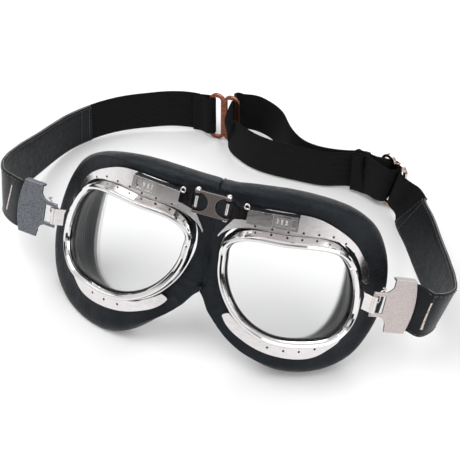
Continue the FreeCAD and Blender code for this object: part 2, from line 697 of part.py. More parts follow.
right_run += near(link_frame, UP_LINK, [(6.3, 4.2), (6.1, 0.0), (6.5, -4.2)]) + [
    (V(-31.6, 180.2, 3.0), V(-0.10, 0.04, 0.99)),
    (V(-24.6, 172.2, 2.4), V(-0.06, 0.02, 1.0)),
    (V(-13.0, 166.0, 1.8), UPRIGHT), (V(0.0, 163.6, 1.4), UPRIGHT),
    (V(14.0, 164.0, 1.2), UPRIGHT), (V(28.0, 165.0, 1.2), UPRIGHT),
    (V(42.0, 167.0, 1.4), UPRIGHT), (V(55.0, 171.8, 1.8), UPRIGHT),
    (V(63.1, 172.0, 2.6), UPRIGHT), (V(69.8, 171.0, 3.8), UP_SLIDER),
] + near(slider_frame, UP_SLIDER, [
    (-9.2, -5.0), (-6.2, -3.2), (-3.6, -0.2), (-2.3, 2.1), (0.0, 2.45), (2.3, 2.0),
    (3.4, 0.1), (4.0, -3.4), (1.4, -7.2), (-4.6, -9.4)]) + [
    (V(69.4, 166.0, 3.6), UP_SLIDER), (V(64.0, 168.6, 2.4), UPRIGHT),
    (V(58.7, 169.2, 1.8), UPRIGHT),
]

leather_t = dim("leather_t")
lining_t = dim("lining_t")
elastic_t = dim("elastic_t")
layer = (leather_t + lining_t) / 2 + 0.05
left_seam = len(left_leather) - 1
right_seam = len(right_leather) - 1
for side, run, seam, inset in (("left", left_run, left_seam, -layer),
                               ("right", right_run, right_seam, layer)):
    feature("strap_leather_" + side, band(run, leather_t, 0.0, 3.0, (0, seam)),
            table_place)
    feature("strap_lining_" + side, band(run, lining_t, inset, 3.0, (0, seam)),
            table_place)
feature("elastic_left",
        band(left_run, elastic_t, 0.0, 2.0, (left_seam, len(left_run) - 1)), table_place)
feature("elastic_right_outer",
        band(right_run, elastic_t, 0.0, 2.4, (right_seam, turn_at)), table_place)
feature("elastic_right_inner",
        band(right_run, elastic_t, 0.0, 2.0, (turn_at, len(right_run) - 1)), table_place)

# ---------------------------------------------------------------- leather mask
# outer outline of the cushion at its fullest, clockwise from the nose
MASK = [(-4.4, -20), (-4.4, -2), (-4.4, 12), (0.5, 20.6), (12, 23.4), (28, 24.0), (45, 22.8),
        (61, 20.0), (76, 15.0), (89.5, 6.6), (100, -7), (106.5, -23), (108, -40),
        (104.5, -57), (94, -70), (78, -77.6), (59, -80.4), (41, -79.0), (25, -73.0),
        (11, -63), (1.8, -52.4), (-3.2, -40)]


MASK_CENTRE = V(39, 0, -27)


def reach_to(outline, p, n):
    """Distance from a rim point to the cushion's outline along the direction n."""
    best = 0.0
    for i, (x1, z1) in enumerate(outline):
        x2, z2 = outline[(i + 1) % len(outline)]
        dx, dz = x2 - x1, z2 - z1
        det = n.x * dz - n.z * dx
        if abs(det) < 1e-9:
            continue
        k = ((x1 - p.x) * dz - (z1 - p.z) * dx) / det
        f = ((x1 - p.x) * n.z - (z1 - p.z) * n.x) / det
        if k > 0 and 0 <= f <= 1:
            best = max(best, k)
    return best


def on_cushion(p, n, k, depth):
    """Like on_eye near the rim; farther out the cushion bends back less sharply."""
    near_k = min(k, 13.0)
    base = on_eye(p.x + n.x * near_k, p.z + n.z * near_k, depth)
    angle = 0.4 * math.asin(max(-0.98, min(0.98, (p.x - MID) / RADIUS)))
    far = (k - near_k) * n.x
    return base + V(far * math.cos(angle), far * math.sin(angle), (k - near_k) * n.z)


def mask_section(reach):
    """The cushion's section round an eye: flat under the plate, round to the face."""
    deep = dim("mask_depth")
    inner = min(10.0, reach * 0.45)
    return [(2.2, 8.9), (reach * 0.60, 8.9), (reach * 0.84, 10.0), (reach * 0.97, 12.4),
            (reach, 15.0), (reach * 0.96, 19.5), (reach * 0.80, 24.4),
            (reach * 0.60, deep), (inner, deep), (inner * 0.5 + 1.7, 20.5),
            (3.1, 14.6), (2.3, 10.0)]


def mask_ring():
    outline = [(p.x, p.z) for p, n in stations(closed_curve(MASK), 160)]
    sections = []
    for p, normal in stations(rim_curve, 44):
        n = (p - MASK_CENTRE).normalize()
        profile = mask_section(reach_to(outline, p, n))
        corners = [on_cushion(p, n, k, d) for k, d in profile]
        sections.append(Part.makePolygon(corners + [corners[0]]))
    return Part.makeLoft(sections, True, False, True)


mirrored_pair("mask", mask_ring())


def nose_outline(sketch):
    """The mask's middle web, from behind the link down to the notch over the nose."""
    w = dim("nose_web_w") / 2
    top = dim("nose_top")
    low = dim("nose_low")
    r = 1.6
    bend = r * (1 - math.sqrt(0.5))
    line(sketch, -w + r, top, w - r, top)
    arc(sketch, (w - r, top), (w - bend, top - bend), (w, top - r))
    line(sketch, w, top - r, w, low)
    arc(sketch, (w, low), (0, low + 2.0), (-w, low))
    line(sketch, -w, low, -w, top - r)
    arc(sketch, (-w, top - r), (-w + bend, top - bend), (-w + r, top))


nose = front_body("mask_nose_body", nose_outline, "dims.nose_deep", 0)
keep(nose, "mask_nose", goggles_place.multiply(at(0, 12.8 + dim("nose_deep") / 2, 0)))
doc.recompute()

# ---------------------------------------------------------------- checks and export
problems = []
for name, obj in nodes:
    if "Invalid" in obj.State or "Error" in obj.State:
        problems.append(name + ": state " + str(obj.State))
    if obj.Shape.isNull() or not obj.Shape.isValid() or obj.Shape.Volume < 1:
        problems.append(name + ": bad shape")
for obj in doc.Objects:
    if "Invalid" in obj.State or "Error" in obj.State:
        problems.append(obj.Name + ": state " + str(obj.State))
if problems:
    raise SystemExit("not written: " + "; ".join(problems))

os.makedirs("parts", exist_ok=True)
for name, obj in nodes:
    obj.Shape.exportStep("parts/" + name + ".step")
print("pieces:", len(nodes))
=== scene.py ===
import math
import random

import bpy
import numpy as np
from mathutils import Matrix, Vector


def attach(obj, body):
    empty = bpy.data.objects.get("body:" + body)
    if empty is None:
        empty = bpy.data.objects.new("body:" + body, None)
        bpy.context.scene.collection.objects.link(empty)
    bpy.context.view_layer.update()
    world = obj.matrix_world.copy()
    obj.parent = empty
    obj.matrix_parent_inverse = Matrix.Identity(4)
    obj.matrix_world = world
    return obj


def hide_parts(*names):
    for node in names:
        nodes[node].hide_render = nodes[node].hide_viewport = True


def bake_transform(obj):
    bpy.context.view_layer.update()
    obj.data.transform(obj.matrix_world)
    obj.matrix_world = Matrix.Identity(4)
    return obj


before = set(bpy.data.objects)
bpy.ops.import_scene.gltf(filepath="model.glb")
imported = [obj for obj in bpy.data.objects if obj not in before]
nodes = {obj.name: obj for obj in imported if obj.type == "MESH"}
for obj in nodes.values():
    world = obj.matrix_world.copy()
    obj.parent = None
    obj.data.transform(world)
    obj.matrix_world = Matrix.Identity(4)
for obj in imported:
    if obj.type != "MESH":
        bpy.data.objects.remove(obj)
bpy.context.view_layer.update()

# Looks for a pair of split-frame riding goggles. Lengths in this script are millimetres
# unless a comment says otherwise; meshes, lights and the camera are placed in metres.
# Left and right are as the photo shows them.

MM = 0.001
rng = random.Random(7)

# ---------------------------------------------------------------- frames
# The goggles frame stands on the bridge: x to the right, y back to the face, z up. It
# leans back in the row frame. An eye's frame has x outward from the nose and y back.
LEAN = math.radians(20)
ORIGIN = np.array([5.5, -96.5, 99.1])
SHIFT = np.array([ORIGIN[0], ORIGIN[1], 0.0])
EYE_TURN = math.radians(16)
EYE_AT = np.array([8.5, 5.0, -14.0])
RADIUS = 88.0  # of the curve that the rims and the cushion wrap round
MID = 39.0  # the rim's middle, along x of the eye's frame
SAG = RADIUS - math.sqrt(RADIUS ** 2 - MID ** 2)


def lean(p):
    """Goggles frame to row frame."""
    p = np.asarray(p, float)
    c, s = math.cos(LEAN), math.sin(LEAN)
    y, z = p[..., 1], p[..., 2]
    return np.stack([p[..., 0], y * c + z * s, -y * s + z * c], -1) + ORIGIN


def lean_direction(v):
    return lean(v) - ORIGIN


def unit(v):
    v = np.asarray(v, float)
    return v / np.linalg.norm(v)


# ---------------------------------------------------------------- materials
class Nodes:
    """A Principled material with short calls for its procedural inputs."""

    def __init__(self, name, color, rough, metallic=0.0, **sockets):
        self.material = bpy.data.materials.new(name)
        self.material.use_nodes = True
        self.tree = self.material.node_tree
        self.shader = self.tree.nodes["Principled BSDF"]
        self.set("Base Color", (*color, 1.0))
        self.set("Roughness", rough)
        self.set("Metallic", metallic)
        for socket, value in sockets.items():
            self.set(socket.replace("_", " "), value)
        self.normal = None  # what the next bump is laid over

    def set(self, socket, value):
        self.shader.inputs[socket].default_value = value

    def new(self, kind, **values):
        node = self.tree.nodes.new(kind)
        for key, value in values.items():
            if key in node.inputs:
                node.inputs[key].default_value = value
            else:
                setattr(node, key, value)
        return node

    def link(self, a, b):
        self.tree.links.new(a, b)

    def coordinates(self, stretch=(1, 1, 1), uv=False):
        source = self.new("ShaderNodeTexCoord").outputs["UV" if uv else "Object"]
        mapping = self.new("ShaderNodeMapping")
        mapping.inputs["Scale"].default_value = stretch
        self.link(source, mapping.inputs["Vector"])
        return mapping.outputs["Vector"]

    def noise(self, size_mm, detail=3.0, stretch=(1, 1, 1), rough=0.55, uv=False):
        node = self.new("ShaderNodeTexNoise", Scale=1000.0 / size_mm, Detail=detail,
                        Roughness=rough)
        self.link(self.coordinates(stretch, uv), node.inputs["Vector"])
        return node.outputs["Fac"]

    def cells(self, size_mm):
        node = self.new("ShaderNodeTexVoronoi", Scale=1000.0 / size_mm)
        self.link(self.coordinates(), node.inputs["Vector"])
        return node.outputs["Distance"]

    def ribs(self, size_mm, axis, distort):
        """Waves along a band: at scale 1 the node repeats every 2 pi / 20 metres."""
        node = self.new("ShaderNodeTexWave", Scale=100.0 * math.pi / size_mm,
                        Distortion=distort, Detail=1.0, bands_direction=axis)
        self.link(self.coordinates(uv=True), node.inputs["Vector"])
        return node.outputs["Fac"]

    def ramp(self, fac, stops):
        node = self.new("ShaderNodeValToRGB")
        ramp = node.color_ramp
        while len(ramp.elements) < len(stops):
            ramp.elements.new(0.5)
        for element, (at, color) in zip(ramp.elements, stops):
            element.position = at
            element.color = (*color, 1.0)
        self.link(fac, node.inputs["Fac"])
        return node.outputs["Color"]

    def spread(self, fac, low, high, a=0.0, b=1.0):
        """fac from a to b, mapped to low to high."""
        node = self.new("ShaderNodeMapRange")
        for socket, value in (("From Min", a), ("From Max", b), ("To Min", low),
                              ("To Max", high)):
            node.inputs[socket].default_value = value
        self.link(fac, node.inputs["Value"])
        return node.outputs["Result"]

    def sum(self, a, b, weight):
        node = self.new("ShaderNodeMath", operation="MULTIPLY_ADD")
        self.link(b, node.inputs[0])
        node.inputs[1].default_value = weight
        self.link(a, node.inputs[2])
        return node.outputs["Value"]

    def color(self, output):
        self.link(output, self.shader.inputs["Base Color"])

    def roughness(self, output):
        self.link(output, self.shader.inputs["Roughness"])

    def bump(self, height, depth_mm, strength=1.0):
        node = self.new("ShaderNodeBump", Strength=strength, Distance=depth_mm * MM)
        self.link(height, node.inputs["Height"])
        if self.normal is not None:
            self.link(self.normal, node.inputs["Normal"])
        self.use_normal(node.outputs["Normal"])

    def use_normal(self, output):
        self.normal = output
        self.link(output, self.shader.inputs["Normal"])

    def mix(self, fac, output, color):
        node = self.new("ShaderNodeMix", data_type="RGBA")
        self.link(fac, node.inputs[0])
        self.link(output, node.inputs[6])
        node.inputs[7].default_value = (*color, 1.0)
        return node.outputs[2]

    def rounded(self, radius_mm):
        node = self.new("ShaderNodeBevel", samples=4, Radius=radius_mm * MM)
        return node.outputs["Normal"]

    def painted_edge_highlight(self):
        """1 on the rounded edges and 0 on the faces, where a painted edge highlight
        goes.
        """
        dot = self.new("ShaderNodeVectorMath", operation="DOT_PRODUCT")
        self.link(self.rounded(0.45), dot.inputs[0])
        self.link(self.new("ShaderNodeNewGeometry").outputs["Normal"], dot.inputs[1])
        return self.spread(dot.outputs["Value"], 1.0, 0.0, 0.80, 0.97)

    def soft_edges(self, radius_mm):
        self.use_normal(self.rounded(radius_mm))


# From and to: metres from the middle plane where the tongue turns from black to bright.
TONGUE_BRIGHT = (0.0235, 0.0245)


def tongue_look():
    """Dark near the middle plane, bright where the guide's window shows its outer end.
    """
    m = Nodes("tongue_metal", (0.03, 0.03, 0.03), 0.35, 1.0)
    axes = m.new("ShaderNodeSeparateXYZ")
    m.link(m.coordinates(), axes.inputs["Vector"])
    shift = m.new("ShaderNodeMath", operation="SUBTRACT")
    shift.inputs[1].default_value = ORIGIN[0] * MM
    m.link(axes.outputs["X"], shift.inputs[0])
    reach = m.new("ShaderNodeMath", operation="ABSOLUTE")
    m.link(shift.outputs["Value"], reach.inputs[0])
    zone = m.spread(reach.outputs["Value"], 0.0, 1.0, *TONGUE_BRIGHT)
    m.color(m.ramp(zone, [(0.3, (0.016, 0.015, 0.015)), (0.7, (0.80, 0.78, 0.77))]))
    m.roughness(m.spread(zone, 0.42, 0.16))
    m.bump(m.noise(0.6), 0.015)
    return m.material


def leather(name, dark, light, rough, grain_mm, depth):
    m = Nodes(name, dark, rough, Specular_IOR_Level=0.24, Sheen_Weight=0.02)
    m.set("Specular Tint", (0.78, 0.90, 1.0, 1.0))
    m.set("Sheen Roughness", 0.45)
    tone = m.noise(9.0, 4.0)
    m.color(m.ramp(tone, [(0.35, dark), (0.7, light)]))
    pores = m.cells(grain_mm)
    folds = m.noise(grain_mm * 3.2, 5.0, rough=0.65)
    m.roughness(m.spread(folds, rough - 0.08, rough + 0.12, 0.3, 0.7))
    m.bump(m.sum(pores, folds, 1.4), depth)
    m.bump(m.noise(14.0, 2.0), depth * 7, 0.6)
    return m.material


def polished(name, color, rough, dent=0.02):
    m = Nodes(name, color, rough, 1.0)
    m.soft_edges(0.22)
    wipe = m.noise(4.0, 4.0, (1, 1, 3))
    m.roughness(m.spread(wipe, rough * 0.8, rough * 1.4, 0.3, 0.75))
    m.color(m.ramp(m.noise(11.0, 2.0), [
        (0.3, tuple(c * 0.93 for c in color)), (0.7, color)]))
    m.bump(m.noise(7.0, 2.0), dent)
    return m.material


def brushed(name, dark, light, rough, speck_mm, depth, stretch=(1, 1, 1)):
    m = Nodes(name, light, rough, 0.92)
    m.soft_edges(0.25)
    # A painted highlight along the rounded edges: their colour is mixed towards a
    # lighter tone.
    highlight_mask = m.painted_edge_highlight()
    specks = m.noise(speck_mm, 3.0, stretch, 0.7)
    glint = tuple(min(1.0, c * 1.25) for c in light)
    highlight_tone = tuple(min(0.85, c * 2.2 + 0.12) for c in light)
    face = m.ramp(specks, [(0.34, dark), (0.5, light), (0.68, glint)])
    m.color(m.mix(highlight_mask, face, highlight_tone))
    m.roughness(m.spread(specks, rough + 0.14, rough - 0.1, 0.3, 0.7))
    m.bump(specks, depth)
    return m.material


def webbing(name, dark, light):
    m = Nodes(name, dark, 0.85, Sheen_Weight=0.02, Specular_IOR_Level=0.12)
    m.set("Sheen Roughness", 0.5)
    warp = m.ribs(1.05, "Y", 0.5)
    weft = m.ribs(0.62, "X", 1.2)
    fuzz = m.noise(0.5, 4.0, uv=True)
    lint = m.noise(2.4, 6.0, (0.35, 1, 1), 0.8)
    # The colour follows the ribs that the bump raises: painted shade between them and a
    # painted highlight on their crests, with real random tone from the fuzz and lint.
    shade = m.sum(m.sum(warp, weft, 0.4), fuzz, 0.5)
    tone = m.sum(m.spread(shade, 0.0, 0.6, 0.2, 1.7), lint, 0.45)
    crest_highlight = tuple(c * 2.2 for c in light)
    m.color(m.ramp(tone, [(0.25, dark), (0.62, light), (0.85, crest_highlight)]))
    m.roughness(m.spread(warp, 0.9, 0.7))
    m.bump(m.sum(warp, weft, 0.6), 0.22)
    m.bump(fuzz, 0.1, 0.6)
    return m.material


def rubber_look():
    m = Nodes("cup_rubber", (0.012, 0.012, 0.013), 0.38, Specular_IOR_Level=0.5)
    grain = m.noise(0.7, 3.0)
    m.color(m.ramp(grain, [(0.3, (0.007, 0.007, 0.008)), (0.75, (0.02, 0.019, 0.019))]))
    m.roughness(m.spread(m.noise(5.0, 3.0), 0.26, 0.5))
    m.bump(grain, 0.04)
    return m.material


def glass_look():
    m = Nodes("clear_glass", (0.985, 0.99, 0.99), 0.02, Transmission_Weight=1.0)
    m.set("IOR", 1.04)
    m.set("Alpha", 0.4)
    m.set("Coat Weight", 0.5)
    m.set("Coat Roughness", 0.02)
    smear = m.noise(26.0, 3.0, (1, 1, 0.4))
    m.roughness(m.spread(smear, 0.0, 0.045, 0.35, 0.8))
    m.color(m.ramp(smear, [(0.2, (0.975, 0.985, 0.985)), (0.8, (1, 1, 1))]))
    m.bump(m.noise(40.0, 1.0), 0.03)
    return m.material


def foil_look():
    m = Nodes("worn_foil", (0.6, 0.52, 0.48), 0.33, 0.85)
    wear = m.noise(1.1, 5.0, rough=0.75)
    m.color(m.ramp(wear, [(0.36, (0.10, 0.07, 0.06)), (0.5, (0.62, 0.52, 0.47)),
                          (0.72, (0.86, 0.80, 0.76))]))
    m.roughness(m.spread(wear, 0.5, 0.25))
    m.bump(wear, 0.05)
    return m.material


def thread_look():
    m = Nodes("thread", (0.03, 0.028, 0.026), 0.7, Sheen_Weight=0.3)
    twist = m.noise(0.35, 3.0)
    m.color(m.ramp(twist, [(0.3, (0.014, 0.013, 0.012)), (0.7, (0.06, 0.055, 0.05))]))
    m.bump(twist, 0.08)
    return m.material


# leather: dark, light, roughness, grain mm, grain depth mm
mask_leather = leather(
    "mask_leather", (0.0045, 0.005, 0.006), (0.011, 0.012, 0.015), 0.36, 0.8, 0.17)
strap_outer = leather(
    "strap_outer", (0.0045, 0.0045, 0.005), (0.010, 0.010, 0.0115), 0.36, 0.6, 0.05)
strap_inner = leather(
    "strap_inner", (0.002, 0.002, 0.0023), (0.005, 0.005, 0.0056), 0.50, 0.9, 0.12)
# Grey strips along the strap's two edges: a painted highlight on the leather's edges.
strap_edge_highlight = leather(
    "strap_edge_highlight", (0.16, 0.155, 0.15), (0.34, 0.32, 0.31), 0.5, 0.4, 0.04)
elastic_look = webbing(
    "elastic_webbing", (0.0022, 0.0022, 0.0026), (0.006, 0.006, 0.007))
# polished: colour, roughness, dent depth mm
rim_chrome = polished("rim_chrome", (0.80, 0.785, 0.785), 0.05)
plate_chrome = polished("plate_chrome", (0.76, 0.73, 0.73), 0.20, 0.008)
small_chrome = polished("small_chrome", (0.74, 0.71, 0.70), 0.13, 0.01)
# brushed: dark, light, roughness, speck mm, speck depth mm
link_metal = brushed(
    "link_metal", (0.07, 0.058, 0.055), (0.17, 0.145, 0.135), 0.38, 0.5, 0.03,
    stretch=(1, 1, 4))
# The two clip plates are one metal in two painted looks: the left one is painted dark
# and bluish for its shade and dim reflection, the right one pale and pinkish for its
# lit reflection.
shaded_clip = brushed(
    "shaded_clip", (0.03, 0.032, 0.037), (0.20, 0.21, 0.235), 0.42, 0.6, 0.10)
lit_clip = brushed(
    "lit_clip", (0.46, 0.41, 0.40), (0.56, 0.50, 0.49), 0.40, 0.5, 0.03)
tongue_metal = tongue_look()
copper = brushed(
    "copper_plate", (0.12, 0.04, 0.023), (0.23, 0.082, 0.047), 0.36, 1.2, 0.03)
pale_copper = polished("pale_copper", (0.70, 0.55, 0.48), 0.16, 0.02)
cup_rubber = rubber_look()
clear_glass = glass_look()
foil = foil_look()
thread = thread_look()


def dress(material, *names):
    for name in names:
        mesh = nodes[name].data
        mesh.materials.clear()
        mesh.materials.append(material)


for side in ("left", "right"):
    dress(rim_chrome, "rim_" + side)
    dress(plate_chrome, "top_plate_" + side, "bottom_plate_" + side)
    dress(small_chrome, "guide_cover_" + side, "hinge_tab_" + side, "clip_wire_" + side)
    dress(cup_rubber, "cup_liner_" + side, "lens_seat_" + side)
    dress(clear_glass, "lens_" + side)
    dress(tongue_metal, "tongue_" + side)
dress(shaded_clip, "clip_plate_left")
dress(lit_clip, "clip_plate_right")
dress(link_metal, "bridge_link")
dress(small_chrome, "bridge_pins")
dress(copper, "link_buckle")
dress(pale_copper, "slider_buckle")


# ---------------------------------------------------------------- meshes
def make_mesh(name, points_mm, faces, material, uvs=None):
    mesh = bpy.data.meshes.new(name)
    mesh.from_pydata([tuple(p) for p in np.asarray(points_mm) * MM], [], faces)
    mesh.validate()
    if uvs is not None:
        layer = mesh.uv_layers.new(name="UVMap")
        for loop in mesh.loops:
            layer.data[loop.index].uv = uvs[loop.vertex_index]
    for polygon in mesh.polygons:
        polygon.use_smooth = True
    obj = bpy.data.objects.new(name, mesh)
    bpy.context.scene.collection.objects.link(obj)
    mesh.materials.append(material)
    return obj


def apply_modifiers(obj):
    bpy.context.view_layer.update()
    graph = bpy.context.evaluated_depsgraph_get()
    mesh = bpy.data.meshes.new_from_object(obj.evaluated_get(graph))
    obj.modifiers.clear()
    obj.data = mesh


def subdivide(obj, levels):
    modifier = obj.modifiers.new("smooth", "SUBSURF")
    modifier.levels = modifier.render_levels = levels
    apply_modifiers(obj)


def flipped(faces):
    return [f[::-1] for f in faces]


def grid_faces(rows, cols, close_rows, close_cols):
    faces = []
    for i in range(rows if close_rows else rows - 1):
        for j in range(cols if close_cols else cols - 1):
            a = i * cols + j
            b = i * cols + (j + 1) % cols
            c = (i + 1) % rows * cols + (j + 1) % cols
            d = (i + 1) % rows * cols + j
            faces.append((a, b, c, d))
    return faces


def tube_faces(rows, cols):
    """Faces of a closed bar: rings of cols points, with both ends capped."""
    faces = grid_faces(rows, cols, False, True)
    faces.append(tuple(range(cols))[::-1])
    faces.append(tuple((rows - 1) * cols + k for k in range(cols)))
    return flipped(faces)


# ---------------------------------------------------------------- mask
def eye_angle(x):
    """Turn round the eye's curve at x, kept short of a right angle."""
    return math.asin(max(-0.98, min(0.98, (x - MID) / RADIUS)))


def on_eye(x, z, depth):
    """The place depth behind the rim's curve, in the eye's frame."""
    angle = eye_angle(x)
    reach = RADIUS - depth
    return np.array([MID + reach * math.sin(angle),
                     RADIUS - reach * math.cos(angle) - SAG, z])


def distances(points):
    """Length along a line of points, at each of them."""
    steps = np.linalg.norm(np.diff(points, axis=0), axis=1)
    return np.concatenate([[0], np.cumsum(steps)])


SPAN_STEPS = 24


def smooth_loop(points, count):
    """A closed Catmull-Rom curve through the points, evenly sampled."""
    points = np.asarray(points, float)
    n = len(points)
    fine = []
    for i in range(n):
        p0, p1, p2, p3 = (points[(i + k) % n] for k in (-1, 0, 1, 2))
        for t in np.linspace(0, 1, SPAN_STEPS, endpoint=False):
            fine.append(0.5 * (2 * p1 + (p2 - p0) * t + (2 * p0 - 5 * p1 + 4 * p2 - p3)
                               * t ** 2 + (3 * p1 - p0 - 3 * p2 + p3) * t ** 3))
    closed = np.array(fine + fine[:1])
    length = distances(closed)
    at = np.linspace(0, length[-1], count, endpoint=False)
    return np.stack([np.interp(at, length, column) for column in closed.T], -1)


# Outlines in an eye's frame: (outward, up). The rim is the same on both sides, and the
# leather's outline is read from the photo on each side.
RIM = [(-0.6, -14), (1.6, -5.5), (9.4, -0.1), (28.7, 2.0), (50.5, 3.1), (65, 0),
       (75.5, -12), (80.6, -27), (79.8, -43.5), (71.5, -53.2), (56.5, -56.8),
       (36.7, -57), (20, -51), (7.2, -39), (0.5, -23.5)]
NOSE_SIDE = [(-15.5, -25), (-21, -13), (-24, 0), (-24, 13), (-21, 21.4), (-12, 23.0),
             (-4, 23.3)]
MASK_SIDE = {
    "left": NOSE_SIDE + [
        (4, 23.6), (16, 24.0), (30, 23.9), (45, 22.6), (60, 19.8), (75, 15.4),
        (88, 8.0), (98.5, -4.5), (106, -20), (109.5, -37), (108, -54), (99, -69),
        (83, -79.0), (64, -84.5), (46, -84.6), (29, -79.4), (14.5, -69.5), (2.5, -57.4),
        (-6.0, -47.0), (-12.6, -36.0)],
    "right": NOSE_SIDE + [
        (4, 24.6), (16, 25.8), (30, 26.6), (45, 26.0), (60, 24.0), (75, 19.8),
        (89, 11.6), (99.5, -2.0), (106.0, -18), (108, -36), (104.5, -53), (94.5, -67.4),
        (78, -75.6), (60, -78.6), (42, -77.8), (25, -72.4), (11, -64.0), (-0.5, -54.6),
        (-7.6, -46.0), (-12.8, -36.0)],
}
MASK_CENTRE = np.array([39.0, -27.0])
SHEET = 9.05  # depth of the leather's front sheet, just behind the plates
SEAM = 0.02  # how far each roll stops from the middle plane
SEAM_SNAP = 1.4  # points nearer the middle plane than this lie on the seam
FLAT_REACH = 15.0  # past this the cushion leaves the rim's curve for a slower turn
FAR_TURN = 0.4
HALVINGS = 18
FLOOR_GAP = 0.05


def reach_to(outline, p, n):
    """Distance from a rim point to the cushion's outline along the direction n."""
    a = outline
    d = np.roll(outline, -1, 0) - a
    det = n[0] * d[:, 1] - n[1] * d[:, 0]
    det[abs(det) < 1e-9] = 1e-9
    k = ((a[:, 0] - p[0]) * d[:, 1] - (a[:, 1] - p[1]) * d[:, 0]) / det
    f = ((a[:, 0] - p[0]) * n[1] - (a[:, 1] - p[1]) * n[0]) / det
    return k[(k > 0) & (f >= 0) & (f <= 1)].max()


def on_cushion(p, n, k, depth):
    """A point k out from the rim point p along n, in the eye's frame."""
    curved = min(k, FLAT_REACH)
    base = on_eye(p[0] + n[0] * curved, p[1] + n[1] * curved, depth)
    angle = FAR_TURN * eye_angle(p[0])
    far = (k - curved) * n[0]
    return base + np.array([far * math.cos(angle), far * math.sin(angle),
                            (k - curved) * n[1]])


def mask_profile(reach, play):
    """(outward, depth) round the padded roll, from the rim over the crown to the face.

    play is added room beside the cup's wall, where the fold moves it most.
    """
    inner = min(10.4, reach * 0.46)
    crown = max(16.2, reach * 0.76)
    return [(2.9 + play * 0.6, 10.0), (3.1, SHEET + 0.1), (8.0, SHEET), (14.9, SHEET),
            (crown, 8.5), (reach * 0.90, 9.8), (reach * 0.975, 12.4), (reach, 16.0),
            (reach * 0.965, 20.0), (reach * 0.86, 24.4), (reach * 0.70, 27.4),
            (reach * 0.54, 28.0), (inner, 27.0), (inner * 0.72 + 0.9, 23.4),
            (inner * 0.34 + 2.6 + play, 18.0), (4.0 + play, 14.0)]


FRONT_STOPS = 8  # the profile's stops on the side that faces front
PUCKER_AT = 0.885  # the share of a turn round the rim: the lower nose side
PUCKER_SPREAD = 0.055
PUCKER_HEIGHT = {"left": 0.34, "right": 0.20}
COARSE, FINE = 58, 97  # puckers in a full turn


def wrinkle(turn, k, side):
    """Fine radial puckers at turn round the rim and k from its edge to the crown."""
    window = math.exp(-((turn - PUCKER_AT) / PUCKER_SPREAD) ** 2)
    wave = (math.sin(turn * 2 * math.pi * COARSE + 2.0 * math.sin(turn * 61))
            + 0.6 * math.sin(turn * 2 * math.pi * FINE + 1.0))
    return (PUCKER_HEIGHT[side] * window * wave
            * max(0.0, math.sin(math.pi * min(1.0, k))))


def from_eye(q):
    """A point of one eye's frame in the goggles frame, on the right-hand side."""
    c, s = math.cos(EYE_TURN), math.sin(EYE_TURN)
    return np.array([EYE_AT[0] + q[0] * c - q[1] * s, EYE_AT[1] + q[0] * s + q[1] * c,
                     EYE_AT[2] + q[2]])


def ramp(value, low, high):
    """A smooth step from 0 at low to 1 at high."""
    t = max(0.0, min(1.0, (value - low) / (high - low)))
    return t * t * (3 - 2 * t)


def roll_point(p, n, k, depth):
    """A point of the roll that stops at the goggles' middle plane.

    On its front the leather is carried smoothly over the bridge, dips into a groove at
    the seam below it, and swells beside that groove.
    """
    q = from_eye(on_cushion(p, n, k, depth))
    if q[0] < SEAM:
        depth = max(depth, SHEET)
        low, high = 0.0, k
        for _ in range(HALVINGS):
            k = (low + high) / 2
            q = from_eye(on_cushion(p, n, k, depth))
            low, high = (k, high) if q[0] > SEAM else (low, k)
        q[0] = SEAM
    front = 1 - ramp(depth, 10.0, 16.0)
    upper = ramp(q[2], -38.0, -12.0)
    saddle = 0.25 * upper * (q[0] - math.hypot(q[0], 4.0))
    groove = 1.9 * (1 - upper) * math.exp(-(q[0] / 2.6) ** 2)
    swell = 1.1 * ramp(k, 2.6, 5.0) * math.exp(-((q[0] - 6.5) / 3.4) ** 2)
    q[1] += front * (saddle + groove - swell)
    return q


OUTLINE_POINTS = 260
RIM_POINTS = 200


def build_mask(side):
    mirror = -1 if side == "left" else 1
    outline = smooth_loop(MASK_SIDE[side], OUTLINE_POINTS)
    rim = smooth_loop(RIM, RIM_POINTS)
    points = []
    rows = len(rim)
    for i, p in enumerate(rim):
        n = unit(p - MASK_CENTRE)
        profile = mask_profile(reach_to(outline, p, n), ramp(-n[0], 0.2, 0.7))
        for j, (k, d) in enumerate(profile):
            lift = wrinkle(i / rows, j / FRONT_STOPS, side) if j <= FRONT_STOPS else 0.0
            x, y, z = roll_point(p, n, k, d - lift)
            points.append((mirror * (SEAM if x < SEAM_SNAP else x), y, z))
    world = lean(np.array(points))
    world[:, 2] = np.maximum(world[:, 2], FLOOR_GAP)
    faces = grid_faces(rows, len(profile), True, True)
    if mirror < 0:
        faces = flipped(faces)
    obj = make_mesh("mask_roll_" + side, world, faces, mask_leather)
    sharp = obj.data.attributes.new("crease_edge", "FLOAT", "EDGE")
    flat_x = (ORIGIN[0] + mirror * SEAM) * MM
    on_plane = [abs(v.co.x - flat_x) < 1e-6 for v in obj.data.vertices]
    for edge in obj.data.edges:
        if all(on_plane[v] for v in edge.vertices):
            sharp.data[edge.index].value = 1.0
    subdivide(obj, 1)
    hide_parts("mask_" + side)
    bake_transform(obj)


for side in ("left", "right"):
    build_mask(side)


